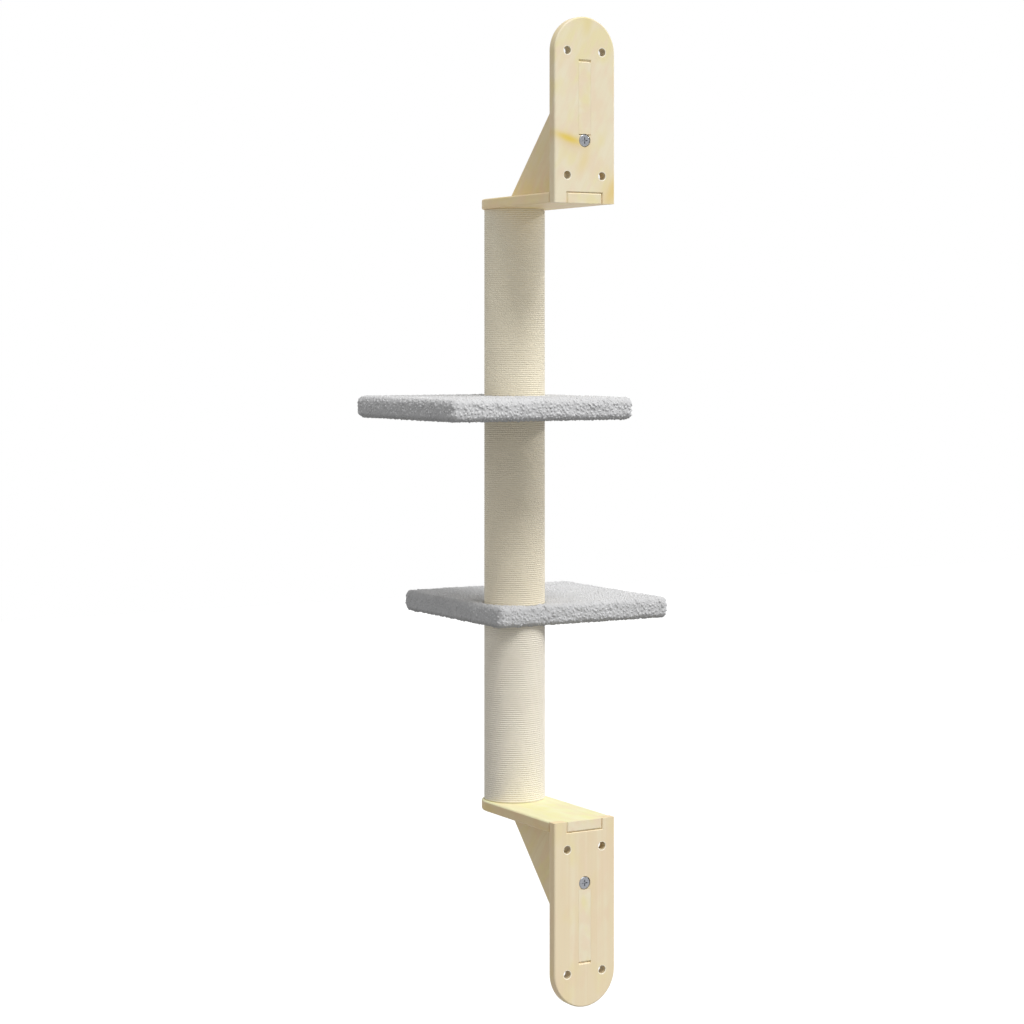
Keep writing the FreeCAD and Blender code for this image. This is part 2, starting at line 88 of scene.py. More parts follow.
# Scales are in cells per metre, and a stretch draws a pattern out along the grain.
RING_WIDTH = 0.0110
RING_PROFILE = ((0.0, 0.2), (0.18, 0.0), (0.50, 0.15), (0.84, 0.9), (1.0, 0.2))
RING_STRETCH = 0.02
RING_WANDER = 0.040
WANDER_SCALE = 30.0
FADE_SCALE = 19.0
GRAIN_STRETCH = 0.16
CLOUDS = ((44.0, PINE_YELLOW), (61.0, PINE_ROSE))
CLOUD_EDGES = ((0.48, 0.0), (0.64, 0.75))
CLOUD_STRETCH = 0.50
BAND_SCALE = 95.0
BAND_EDGES = ((0.42, 0.0), (0.56, 1.0))
BAND_STRETCH = 0.02
FIBRE_SCALE = 1300.0
FIBRE_STRETCH = 0.012
FIBRE_DEPTH = 0.00005
WAVER_SCALE = 34.0

PLANED_DEPTH = 0.0014        # how far below a planed face its own colour ends
HOLE_RADIUS = 0.0046
HOLE_HIGHLIGHT_RADIUS = 0.0054
HOLE_ASIDE = 0.023           # from the middle of a plate's four screw holes
HOLE_ABOVE = 0.070
HOLES_BELOW_MIDDLE = 0.004   # from the middle of the upper plate to that of its holes
SMOOTH_ANGLE = math.radians(35)
MERGE_DISTANCE = 1e-6


def add(tree, kind, settings=None, inputs=None):
    """Add a node, with its settings and its inputs, each input a value or another node's socket."""
    made = tree.nodes.new(kind)
    for key, value in (settings or {}).items():
        setattr(made, key, value)
    for key, value in (inputs or {}).items():
        if isinstance(value, bpy.types.NodeSocket):
            tree.links.new(value, made.inputs[key])
        else:
            made.inputs[key].default_value = value
    return made


def maths(tree, operation, a, b=0.0, c=0.0):
    node = add(tree, "ShaderNodeMath", {"operation": operation}, {0: a, 1: b, 2: c})
    return node.outputs[0]


def between(tree, share, low, high):
    """A number that goes from low to high as a share goes from 0 to 1."""
    return maths(tree, "MULTIPLY_ADD", share, high - low, low)


def mixed(tree, factor, a, b, blend="MIX"):
    settings = {"data_type": "RGBA", "blend_type": blend}
    return add(tree, "ShaderNodeMix", settings, {0: factor, 6: a, 7: b}).outputs[2]


def shaded(tree, colour, share):
    """A colour times a number."""
    grey = add(tree, "ShaderNodeCombineColor", None, {0: share, 1: share, 2: share}).outputs[0]
    return mixed(tree, 1.0, colour, grey, "MULTIPLY")


def noise(tree, vector, scale, detail=2.0, roughness=0.5, output="Fac"):
    node = add(tree, "ShaderNodeTexNoise", {"noise_dimensions": "3D"},
               {"Vector": vector, "Scale": scale, "Detail": detail, "Roughness": roughness})
    return node.outputs[output]


def ramp(tree, factor, stops):
    """A colour ramp from a list of (place, colour)."""
    node = add(tree, "ShaderNodeValToRGB", None, {"Fac": factor})
    elements = node.color_ramp.elements
    while len(elements) > 1:
        elements.remove(elements[-1])
    elements[0].position, elements[0].color = stops[0]
    for place, colour in stops[1:]:
        elements.new(place).color = colour
    return node.outputs["Color"]


def grey_ramp(tree, factor, stops):
    """A ramp of greys from a list of (place, grey)."""
    return ramp(tree, factor, [(place, (grey, grey, grey, 1)) for place, grey in stops])


def stretched(tree, vector, factors):
    node = add(tree, "ShaderNodeVectorMath", {"operation": "MULTIPLY"}, {0: vector, 1: factors})
    return node.outputs[0]


def object_point(tree, shift=(0, 0, 0), turn=(0, 0, 0)):
    """The object's own coordinates, moved and turned so that a pattern sits where the piece needs it."""
    place = add(tree, "ShaderNodeTexCoord").outputs["Object"]
    node = add(tree, "ShaderNodeMapping", {"vector_type": "POINT"},
               {"Vector": place, "Location": shift, "Rotation": turn})
    return node.outputs["Vector"]


def axes_of(tree, vector):
    return add(tree, "ShaderNodeSeparateXYZ", None, {0: vector}).outputs


def new_material(name):
    material = bpy.data.materials.new(name)
    material.use_nodes = True
    shader = material.node_tree.nodes["Principled BSDF"]
    return material, material.node_tree, shader


def bump(tree, height, distance, strength=1.0):
    node = add(tree, "ShaderNodeBump", None,
               {"Height": height, "Distance": distance, "Strength": strength})
    return node.outputs["Normal"]


def late_wood(tree, point, heart, contrast):
    """How much late wood shows: rings round the pith, which wander and fade along the board."""
    grain = stretched(tree, point, (1.0, 1.0, GRAIN_STRETCH))
    wander = maths(tree, "SUBTRACT", noise(tree, grain, WANDER_SCALE), 0.5)
    flat = stretched(tree, heart, (1.0, 1.0, RING_STRETCH))
    radius = add(tree, "ShaderNodeVectorMath", {"operation": "LENGTH"}, {0: flat}).outputs["Value"]
    wavy_radius = maths(tree, "MULTIPLY_ADD", wander, RING_WANDER, radius)
    rings = maths(tree, "FRACT", maths(tree, "DIVIDE", wavy_radius, RING_WIDTH))
    fade = noise(tree, grain, FADE_SCALE, detail=1.0)
    strength = between(tree, fade, low=-0.30 * contrast, high=1.20 * contrast)
    return maths(tree, "MULTIPLY", grey_ramp(tree, rings, RING_PROFILE), strength)


def pine(name, turn, pith, seed, contrast, bands, marks=(), shades=()):
    """Pine whose growth rings run round a pith line, which is the piece's Z axis turned and shifted.

    Each mark is a mask and the colour laid on there, each shade a mask and the tone there.
    """
    material, tree, shader = new_material(name)
    point = object_point(tree, (seed, seed * 0.37, seed * 0.61), turn)
    heart = object_point(tree, pith, turn)
    colour = mixed(tree, late_wood(tree, point, heart, contrast), PINE_EARLY, PINE_LATE)
    for scale, tint in CLOUDS:
        spots = noise(tree, stretched(tree, point, (1.0, 1.0, CLOUD_STRETCH)), scale)
        colour = mixed(tree, grey_ramp(tree, spots, CLOUD_EDGES), colour, tint)
    lengthwise = noise(tree, stretched(tree, point, (1.0, 1.0, BAND_STRETCH)), BAND_SCALE)
    band = maths(tree, "MULTIPLY", grey_ramp(tree, lengthwise, BAND_EDGES), bands)
    colour = mixed(tree, band, colour, PINE_LATE)
    for mask, mark in marks:
        colour = mixed(tree, mask(tree), colour, mark)
    for mask, tone in shades:
        colour = mixed(tree, mask(tree), colour, tone, "MULTIPLY")
    fibre = noise(tree, stretched(tree, point, (1.0, 1.0, FIBRE_STRETCH)), FIBRE_SCALE)
    colour = shaded(tree, colour, between(tree, fibre, low=0.975, high=1.025))
    tree.links.new(colour, shader.inputs["Base Color"])
    tree.links.new(between(tree, fibre, low=0.44, high=0.54), shader.inputs["Roughness"])
    tree.links.new(bump(tree, fibre, FIBRE_DEPTH, strength=0.4), shader.inputs["Normal"])
    shader.inputs["Specular IOR Level"].default_value = 0.38
    return material


def streak(centre, slope, length, width, waver):
    """A mask that is 1 along a wavering streak on a wall plate's back, and fades to its ends."""
    def mask(tree):
        point = object_point(tree, tuple(-value for value in centre))
        wavering = add(tree, "ShaderNodeVectorMath", {"operation": "SCALE"},
                       {0: noise(tree, point, WAVER_SCALE, output="Color"), "Scale": waver})
        moved = add(tree, "ShaderNodeVectorMath", {"operation": "ADD"},
                    {0: point, 1: wavering.outputs[0]})
        turned = add(tree, "ShaderNodeMapping", None,
                     {"Vector": moved.outputs[0], "Rotation": (0, math.radians(slope), 0)})
        place = axes_of(tree, turned.outputs[0])
        along = maths(tree, "POWER", maths(tree, "DIVIDE", place["X"], length), 2.0)
        across = maths(tree, "POWER", maths(tree, "DIVIDE", place["Z"], width), 2.0)
        distance = maths(tree, "ADD", along, across)
        return maths(tree, "POWER", math.e, maths(tree, "MULTIPLY", distance, -1.0))
    return mask


def round_holes(holes_centre, radius):
    """A mask of all that lies within a radius of the axes of a plate's four screw holes."""
    def mask(tree):
        place = axes_of(tree, object_point(tree, (0, 0, -holes_centre)))
        aside = maths(tree, "SUBTRACT", maths(tree, "ABSOLUTE", place["X"]), HOLE_ASIDE)
        above = maths(tree, "SUBTRACT", maths(tree, "ABSOLUTE", place["Z"]), HOLE_ABOVE)
        from_axis = add(tree, "ShaderNodeCombineXYZ", None, {0: aside, 1: above}).outputs[0]
        away = add(tree, "ShaderNodeVectorMath", {"operation": "LENGTH"}, {0: from_axis})
        return maths(tree, "LESS_THAN", away.outputs["Value"], radius)
    return mask


def below(**faces):
    """A mask of all that lies below a board's planed faces, each an axis and the face's place on it."""
    def mask(tree):
        place = axes_of(tree, object_point(tree))
        inside = 1.0
        for axis, face in faces.items():
            depth = maths(tree, "ABSOLUTE", maths(tree, "SUBTRACT", place[axis], face))
            under = maths(tree, "GREATER_THAN", depth, PLANED_DEPTH)
            inside = maths(tree, "MULTIPLY", under, inside)
        return inside
    return mask


def everywhere(tree):
    """The mask of a whole board."""
    return 1.0


def make_plain(piece):
    """Turn what an object's modifiers make of it into its own plain mesh."""
    plain = bpy.data.meshes.new_from_object(piece.evaluated_get(bpy.context.evaluated_depsgraph_get()))
    piece.modifiers.clear()
    piece.data = plain
    plain.name = piece.name


def smooth_copy(name, node, material):
    """A merged copy of a CAD node with clean shading, which stands for it."""
    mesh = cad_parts[node].data.copy()
    mesh.name = name
    loose = bmesh.new()
    loose.from_mesh(mesh)
    bmesh.ops.remove_doubles(loose, verts=loose.verts, dist=MERGE_DISTANCE)
    for face in loose.faces:
        face.smooth = True
    for edge in loose.edges:
        edge.smooth = edge.is_manifold and edge.calc_face_angle(0) < SMOOTH_ANGLE
    loose.to_mesh(mesh)
    loose.free()
    mesh.materials.clear()
    mesh.materials.append(material)
    piece = bpy.data.objects.new(name, mesh)
    bpy.context.scene.collection.objects.link(piece)
    evened = piece.modifiers.new("even_shading", "WEIGHTED_NORMAL")
    evened.keep_sharp = True
    evened.weight = 100
    make_plain(piece)
    return piece


def hand_over(piece, slot, *nodes):
    """Attach a finished piece to the object's body, for the nodes it stands for; its slot is not used."""
    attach(piece, "root")
    if nodes:
        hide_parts(*nodes)


# How each board was sawn from its log.
UPRIGHT = (0, 0, 0)
TILTED = (0, math.radians(22), 0)
OUTWARD = (math.radians(90), 0, 0)
SLANTED = (math.radians(42), 0, 0)

# The lower plate's screw holes lie round the origin.
plate_low, plate_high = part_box("upper_wall_plate")
upper_holes = (plate_low.z + plate_high.z) / 2 - HOLES_BELOW_MIDDLE
lower_holes = 0.0
lower_arm_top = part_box("lower_arm")[1].z

# The last mark on each plate is the painted highlight round its screw holes.
upper_marks = [
    (streak(centre=(0.0200, 0, 0.8655), slope=18, length=0.021, width=0.0090, waver=0.006),
     PINE_RESIN_EDGE),
    (streak(centre=(0.0235, 0, 0.8705), slope=17, length=0.019, width=0.0046, waver=0.0045),
     PINE_RESIN),
    (streak(centre=(0.0045, 0, 0.8470), slope=-62, length=0.016, width=0.0062, waver=0.006),
     PINE_AMBER),
    (streak(centre=(-0.0320, 0, 0.8140), slope=-62, length=0.022, width=0.0090, waver=0.008),
     PINE_HONEY),
    (streak(centre=(0.0010, 0, 1.0030), slope=-70, length=0.016, width=0.0070, waver=0.008),
     PINE_STRAW),
    (round_holes(upper_holes, HOLE_HIGHLIGHT_RADIUS), PAINTED_HOLE_HIGHLIGHT)]
lower_marks = [(round_holes(lower_holes, HOLE_HIGHLIGHT_RADIUS), PAINTED_HOLE_HIGHLIGHT)]

# The plates' and the lower arm's side tones also paint warm shade on the faces that lie in shade, away
# from the lit back and top.
boards = {
    "upper_wall_plate": pine(
        "pine_upper_plate", TILTED, pith=(0.012, -0.075, 0.0), seed=3.1, contrast=0.6, bands=0.15,
        marks=upper_marks,
        shades=[(below(Y=0.0), PLATE_SIDE_COLOUR_AND_PAINTED_SHADE), (round_holes(upper_holes, HOLE_RADIUS), BORE_END_GRAIN_AND_PAINTED_SHADE)]),
    "lower_wall_plate": pine(
        "pine_lower_plate", UPRIGHT, pith=(-0.010, -0.052, 0.0), seed=5.7, contrast=0.6, bands=0.60,
        marks=lower_marks,
        shades=[(below(Y=0.0), PLATE_SIDE_COLOUR_AND_PAINTED_SHADE), (everywhere, LOWER_PLATE_TONE),
                (round_holes(lower_holes, HOLE_RADIUS), BORE_END_GRAIN_AND_PAINTED_SHADE)]),
    "upper_arm": pine(
        "pine_upper_arm", OUTWARD, pith=(0.010, 0.040, 0.0), seed=8.2, contrast=1.0, bands=0.2,
        shades=[(below(Y=0.0), UPPER_ARM_TONE)]),
    "lower_arm": pine(
        "pine_lower_arm", OUTWARD, pith=(-0.014, 0.060, 0.0), seed=1.9, contrast=1.0, bands=0.2,
        shades=[(below(Y=0.0), LOWER_ARM_TONE),
                (below(Y=0.0, Z=lower_arm_top), LOWER_ARM_SIDE_COLOUR_AND_PAINTED_SHADE)]),
    "upper_brace": pine(
        "pine_upper_brace", SLANTED, pith=(0.060, 0.020, 0.0), seed=6.4, contrast=0.8, bands=0.2,
        shades=[(below(Y=0.0), BRACE_TONE)]),
    "lower_brace": pine(
        "pine_lower_brace", SLANTED, pith=(0.045, -0.030, 0.0), seed=9.3, contrast=0.8, bands=0.2,
        shades=[(below(Y=0.0), BRACE_TONE)]),
}
for node, material in boards.items():
    hand_over(smooth_copy(node + "_board", node, material), "pine", node)


# ---------------------------------------------------------------------------------------------
# Dowels: two turned beech pins between each brace and its arm, glued into both.
# They keep the brace in its place under load and are hidden in the joint.
# ---------------------------------------------------------------------------------------------

BEECH_LIGHT = (0.62, 0.42, 0.24, 1)
BEECH_DARK = (0.48, 0.30, 0.16, 1)


def streaky(name, light, dark, stretch, scale, roughness):
    """A plain hidden material: two tones in streaks or flecks."""
    material, tree, shader = new_material(name)
    drawn = stretched(tree, object_point(tree), stretch)
    pattern = noise(tree, drawn, scale, detail=4.0, roughness=0.65)
    tone = ramp(tree, pattern, [(0.35, dark), (0.62, light)])
    tree.links.new(tone, shader.inputs["Base Color"])
    tree.links.new(bump(tree, pattern, distance=0.0002, strength=0.5), shader.inputs["Normal"])
    shader.inputs["Roughness"].default_value = roughness
    return material


def finish_nodes(material, *names):
    """Give CAD nodes that keep their meshes a material."""
    for name in names:
        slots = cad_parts[name].data.materials
        slots.clear()
        slots.append(material)


beech = streaky("beech_dowel", BEECH_LIGHT, BEECH_DARK, stretch=(1, 1, 0.04), scale=900.0, roughness=0.55)
finish_nodes(beech, "brace_dowels")


# ---------------------------------------------------------------------------------------------
# Fasteners: zinc plated steel bolts with a flat round head and a cross recess, sunk in the plates'
# backs and in the arms' outer faces. They pull on threaded inserts in the braces and on tee nuts in
# the post's plugs, and a threaded stud joins the plugs above and below each platform.
# ---------------------------------------------------------------------------------------------

ZINC_DARK = (0.24, 0.25, 0.27, 1)
ZINC_LIGHT = (0.40, 0.41, 0.44, 1)


def zinc(name, roughness):
    """Bright zinc plating: bluish metal, faintly mottled and brushed."""
    material, tree, shader = new_material(name)
    point = object_point(tree)
    mottle = noise(tree, point, scale=900.0, detail=3.0, roughness=0.6)
    brushed = noise(tree, stretched(tree, point, (1.0, 1.0, 0.08)), scale=5200.0)
    tone = ramp(tree, mottle, [(0.30, ZINC_DARK), (0.70, ZINC_LIGHT)])
    tree.links.new(tone, shader.inputs["Base Color"])
    mottled = between(tree, mottle, low=roughness, high=roughness + 0.20)
    tree.links.new(mottled, shader.inputs["Roughness"])
    tree.links.new(bump(tree, brushed, distance=0.00004, strength=0.4), shader.inputs["Normal"])
    shader.inputs["Metallic"].default_value = 1.0
    return material


zinc_plating = zinc("zinc_plating", roughness=0.24)
for node in ("brace_bolts", "post_bolts"):
    hand_over(smooth_copy(node + "_plated", node, zinc_plating), "zinc", node)
finish_nodes(zinc("zinc_threads", roughness=0.34), "brace_inserts", "tee_nuts", "platform_studs")


# ---------------------------------------------------------------------------------------------
# Post cores: a spiral wound card tube inside each of the post's three sections.
# A round chipboard plug is glued in each end of a tube, flush with it, and holds a tee nut.
# ---------------------------------------------------------------------------------------------

CARD_LIGHT = (0.50, 0.35, 0.21, 1)
CARD_DARK = (0.40, 0.27, 0.15, 1)
CHIP_LIGHT = (0.55, 0.41, 0.25, 1)
CHIP_DARK = (0.34, 0.23, 0.13, 1)

card = streaky("kraft_card", CARD_LIGHT, CARD_DARK, stretch=(1, 1, 0.3), scale=260.0, roughness=0.8)
chipboard = streaky("chipboard", CHIP_LIGHT, CHIP_DARK, stretch=(1, 1, 1), scale=480.0, roughness=0.75)
sections = ("lower", "middle", "upper")
for section in sections:
    finish_nodes(card, section + "_post_core")
    finish_nodes(chipboard, section + "_post_bottom_plug", section + "_post_top_plug")


# ---------------------------------------------------------------------------------------------
# Cord on the post: thin pale twisted cord, wound edge to edge round each card tube in one length
# and glued down, its ends tucked under the first and the last turn.
# ---------------------------------------------------------------------------------------------

CORD_PITCH = 0.00239
CORD_SQUEEZE = 1.20          # the cord's thickness over its pitch, as its turns press on each other
CORD_STRANDS = 3.0
STRAND_SPACING = 0.0062      # from one strand to the next, along the cord
CORD_END_THICKNESS = 0.04    # share of the thickness that the tucked ends keep
POINTS_PER_TURN = 64
CORD_SIDES = 10
CORD_PALE = (0.890, 0.830, 0.690, 1)
CORD_SHADE = (0.870, 0.808, 0.668, 1)
# Each section is its own length of cord with a tone of its own. These tones also paint the light:
# brighter and warmer on the upper and middle sections, which lie largely in shade, and darker and cooler
# on the lit lower one.
CORD_SECTION_TONES_AND_LIGHT = {
    "lower": (0.945, 0.950, 0.985, 1),
    "middle": (1.02, 1.00, 0.96, 1),
    "upper": (1.02, 1.01, 0.97, 1)}


def new_tree(name, sizes):
    """An empty geometry tree with named inputs, each a number with its value."""
    tree = bpy.data.node_groups.new(name, "GeometryNodeTree")
    tree.interface.new_socket("Geometry", in_out="INPUT", socket_type="NodeSocketGeometry")
    for label, value in sizes.items():
        kind = "NodeSocketInt" if isinstance(value, int) else "NodeSocketFloat"
        tree.interface.new_socket(label, in_out="INPUT", socket_type=kind).default_value = value
    tree.interface.new_socket("Geometry", in_out="OUTPUT", socket_type="NodeSocketGeometry")
    return tree, tree.nodes.new("NodeGroupInput"), tree.nodes.new("NodeGroupOutput")


def end_tree(tree, outside, geometry, material):
    """End a geometry tree in real geometry of one material."""
    real = add(tree, "GeometryNodeRealizeInstances", None, {"Geometry": geometry})
    coated = add(tree, "GeometryNodeSetMaterial", None,
                 {"Geometry": real.outputs["Geometry"], "Material": material})
    tree.links.new(coated.outputs["Geometry"], outside.inputs["Geometry"])


def run_tree(piece, tree, sizes):
    """Put a geometry tree on an object, with these sizes for its named inputs."""
    modifier = piece.modifiers.new(tree.name, "NODES")
    modifier.node_group = tree
    for item in tree.interface.items_tree:
        if item.item_type == "SOCKET" and item.in_out == "INPUT" and item.name in sizes:
            modifier[item.identifier] = sizes[item.name]


def grown(name, tree, sizes, start):
    """A plain mesh object that holds what a geometry tree of these sizes makes of a mesh."""
    piece = bpy.data.objects.new(name, start)
    bpy.context.scene.collection.objects.link(piece)
    run_tree(piece, tree, sizes)
    make_plain(piece)
    return piece


def cord_finish(name, section_tone_and_light):
    """Undyed twisted cord: three strands laid round each other, with fine fibre, in its section's own
    tone, which also paints the light on that section.
    """
    material, tree, shader = new_material(name)
    laid = add(tree, "ShaderNodeAttribute", {"attribute_name": "cord_way"}).outputs["Vector"]
    way = axes_of(tree, laid)
    strands = maths(tree, "ADD", maths(tree, "DIVIDE", way["X"], STRAND_SPACING),
                    maths(tree, "MULTIPLY", way["Y"], CORD_STRANDS))
    wave = maths(tree, "SINE", maths(tree, "MULTIPLY", strands, math.pi))
    rounded = maths(tree, "ABSOLUTE", wave)
    point = object_point(tree)
    fibre = noise(tree, point, scale=1800.0)
    cloud = noise(tree, stretched(tree, point, (0.35, 0.35, 1.0)), scale=60.0)
    tone = ramp(tree, cloud, [(0.30, CORD_SHADE), (0.70, CORD_PALE)])
    tone = mixed(tree, 1.0, tone, section_tone_and_light, "MULTIPLY")
    # Painted shade: the colour is a little darker in the creases between the strands.
    painted_strand_gap_shade = between(tree, maths(tree, "POWER", rounded, 0.5), low=0.98, high=1.0)
    shade = maths(tree, "MULTIPLY", painted_strand_gap_shade, between(tree, fibre, low=0.99, high=1.01))
    tree.links.new(shaded(tree, tone, shade), shader.inputs["Base Color"])
    tree.links.new(bump(tree, rounded, distance=0.00002, strength=0.2), shader.inputs["Normal"])
    shader.inputs["Roughness"].default_value = 0.75
    shader.inputs["Specular IOR Level"].default_value = 0.3
    shader.inputs["Sheen Weight"].default_value = 0.20
    return material


def winding_tree(material, sizes):
    """One length of cord round the Z axis, whose first and last turns thin out against the ends.

    The way along and round the cord is stored for the finish.
    """
    tree, inside, outside = new_tree("wind_cord", sizes)
    turns = inside.outputs["Turns"]
    radius = inside.outputs["Cord Radius"]
    per_turn = inside.outputs["Points Per Turn"]
    line = add(tree, "GeometryNodeCurvePrimitiveLine", {"mode": "POINTS"})
    count = maths(tree, "MULTIPLY_ADD", maths(tree, "ADD", turns, 2.0), per_turn, 1.0)
    points = add(tree, "GeometryNodeResampleCurve", None, {"Curve": line.outputs[0], "Count": count})

    # The turn at each point: -1 at the start of the tucked end, and turns + 1 at the last point.
    index = add(tree, "GeometryNodeInputIndex").outputs[0]
    turn = maths(tree, "SUBTRACT", maths(tree, "DIVIDE", index, per_turn), 1.0)
    from_start = maths(tree, "ADD", turn, 1.0)
    to_end = maths(tree, "SUBTRACT", maths(tree, "ADD", turns, 1.0), turn)
    nearer = maths(tree, "MINIMUM", from_start, to_end)
    taper = maths(tree, "MAXIMUM", maths(tree, "MINIMUM", nearer, 1.0), CORD_END_THICKNESS)
    thin = maths(tree, "MULTIPLY", taper, radius)

    # The height climbs by one pitch a turn, and the thin ends keep to the section's ends.
    wound_height = maths(tree, "MULTIPLY_ADD", radius, -2.0, inside.outputs["Height"])
    pitch = maths(tree, "DIVIDE", wound_height, turns)
    whole_turn = maths(tree, "MINIMUM", maths(tree, "MAXIMUM", turn, 0.0), turns)
    climbed = maths(tree, "MULTIPLY", whole_turn, pitch)
    half = maths(tree, "SIGN", maths(tree, "SUBTRACT", turn, maths(tree, "DIVIDE", turns, 2.0)))
    aside = maths(tree, "MULTIPLY", maths(tree, "SUBTRACT", radius, thin), half)
    above_bottom = maths(tree, "ADD", maths(tree, "ADD", climbed, radius), aside)
    height = maths(tree, "ADD", above_bottom, inside.outputs["Bottom"])

    angle = maths(tree, "MULTIPLY", turn, 2 * math.pi)
    reach = maths(tree, "ADD", inside.outputs["Core Radius"], thin)
    x = maths(tree, "MULTIPLY", maths(tree, "COSINE", angle), reach)
    y = maths(tree, "MULTIPLY_ADD", maths(tree, "SINE", angle), reach, inside.outputs["Centre Y"])
    place = add(tree, "ShaderNodeCombineXYZ", None, {0: x, 1: y, 2: height})
    wound = add(tree, "GeometryNodeSetPosition", None,
                {"Geometry": points.outputs["Curve"], "Position": place.outputs[0]})
    upright = add(tree, "GeometryNodeSetCurveNormal", {"mode": "Z_UP"},
                  {"Curve": wound.outputs["Geometry"]})
    tapered = add(tree, "GeometryNodeSetCurveRadius", None,
                  {"Curve": upright.outputs["Curve"], "Radius": taper})

    along = add(tree, "GeometryNodeSplineParameter")
    path = add(tree, "GeometryNodeCaptureAttribute", None, {"Geometry": tapered.outputs["Curve"]})
    path.capture_items.new("FLOAT", "Along")
    tree.links.new(along.outputs["Length"], path.inputs["Along"])
    ring = add(tree, "GeometryNodeCurvePrimitiveCircle", None,
               {"Resolution": inside.outputs["Sides"], "Radius": radius})
    round_ring = add(tree, "GeometryNodeCaptureAttribute", None, {"Geometry": ring.outputs["Curve"]})
    round_ring.capture_items.new("FLOAT", "Round")
    tree.links.new(along.outputs["Factor"], round_ring.inputs["Round"])
    tube = add(tree, "GeometryNodeCurveToMesh", None,
               {"Curve": path.outputs["Geometry"], "Profile Curve": round_ring.outputs["Geometry"],
                "Fill Caps": True})
    way = add(tree, "ShaderNodeCombineXYZ", None,
              {0: path.outputs["Along"], 1: round_ring.outputs["Round"]})
    kept = add(tree, "GeometryNodeStoreNamedAttribute", {"data_type": "FLOAT_VECTOR", "domain": "POINT"},
               {"Geometry": tube.outputs["Mesh"], "Name": "cord_way", "Value": way.outputs[0]})
    smooth = add(tree, "GeometryNodeSetShadeSmooth", None, {"Geometry": kept.outputs["Geometry"]})
    end_tree(tree, outside, smooth.outputs["Geometry"], material)
    return tree


cord_radius = CORD_PITCH / 2 * CORD_SQUEEZE
for section in sections:
    low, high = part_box(section + "_post_core")
    wound_low, wound_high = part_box(section + "_post_cord")
    cord_sizes = {
        "Turns": round((high.z - low.z - 2 * cord_radius) / CORD_PITCH),
        "Height": high.z - low.z,
        "Core Radius": (wound_high.x - wound_low.x) / 2 - 2 * cord_radius,
        "Cord Radius": cord_radius,
        "Centre Y": (low.y + high.y) / 2,
        "Bottom": low.z,
        "Points Per Turn": POINTS_PER_TURN,
        "Sides": CORD_SIDES}
    winding = winding_tree(cord_finish(section + "_undyed_cord", CORD_SECTION_TONES_AND_LIGHT[section]), cord_sizes)
    cord = grown(section + "_post_winding", winding, cord_sizes, bpy.data.meshes.new("cord_start"))
    hand_over(cord, "cord", section + "_post_cord")


# ---------------------------------------------------------------------------------------------
# Platforms: a chipboard square in a cover of short curly light grey plush, pulled tight over the
# edges. The post's ends press on the board through a round opening in the plush.
# ---------------------------------------------------------------------------------------------

CORNER_ROUNDING = 0.0068     # of the cover's four upright corners, and never less than the next
EDGE_ROUNDING = 0.0064       # of its edges round the top and the bottom
ROUNDING_STEPS = 5
RIM_ANGLE = 1.0              # radians: edges sharper than this are the cover's rims
SKIN_VOXEL = 0.0016
OPENING_CLEARANCE = 0.0004
OPENING_SIDES = 96
PUNCH_PAST = 0.001           # how far an opening's punch reaches past the cover

LUMP_HEIGHT = 0.0014
LUMP_SCALE = 118.0
LUMP_CALM = 0.60             # share of the lumps' height that is missing on level faces
PILE_HEIGHT = 0.0006
PILE_CLEARANCE = 0.0012      # from the post to the nearest curl
CURL_SPACINGS = {"top": 0.0030, "edge": 0.0035, "underside": 0.0034}
CURL_SIZES = {"top": 0.95, "edge": 1.25, "underside": 1.1}
CURL_SPREAD = (0.85, 1.15)
CURL_LEAN = 0.35             # radians, at most
CURL_DENSITY = 400000.0      # tries per square metre, of which the spacing keeps some
CURL_SIDES = 5
CURL_WIDTHS = (0.45, 0.92, 1.0, 0.55)
CURL_WIDTH = 0.0016
CURL_REACH = 0.0016
CURL_SUNK = 0.80             # share of its width that a curl sits in the backing
ARCH_START = 0.05            # where on a half circle a curl starts to rise
ARCH_LENGTH = 0.80           # and how much of it the curl follows
# Each kind of curl: its turn in radians, and its rise and lean over the pile's height.
CURL_KINDS = ((2.2, 1.00, 0.1), (-2.9, 0.90, -0.2), (3.6, 1.10, 0.3), (-1.6, 0.95, 0.2), (4.2, 0.80, 0.0))

PLUSH_LIGHT = (0.665, 0.665, 0.67, 1)
PLUSH_DARK = (0.625, 0.625, 0.63, 1)
PLUSH_BACKING = (0.56, 0.56, 0.565, 1)
# Painted shade: the plush is darker near its underside, its outer side and its wall side.
UNDERSIDE_PAINTED_SHADE = 0.74
OUTER_SIDE_PAINTED_SHADES = {"upper": 0.89, "lower": 0.86}
WALL_SIDE_PAINTED_SHADES = {"upper": 0.99, "lower": 0.94}
PAINTED_SHADE_FROM = 0.0010
PAINTED_SHADE_TO = 0.0065


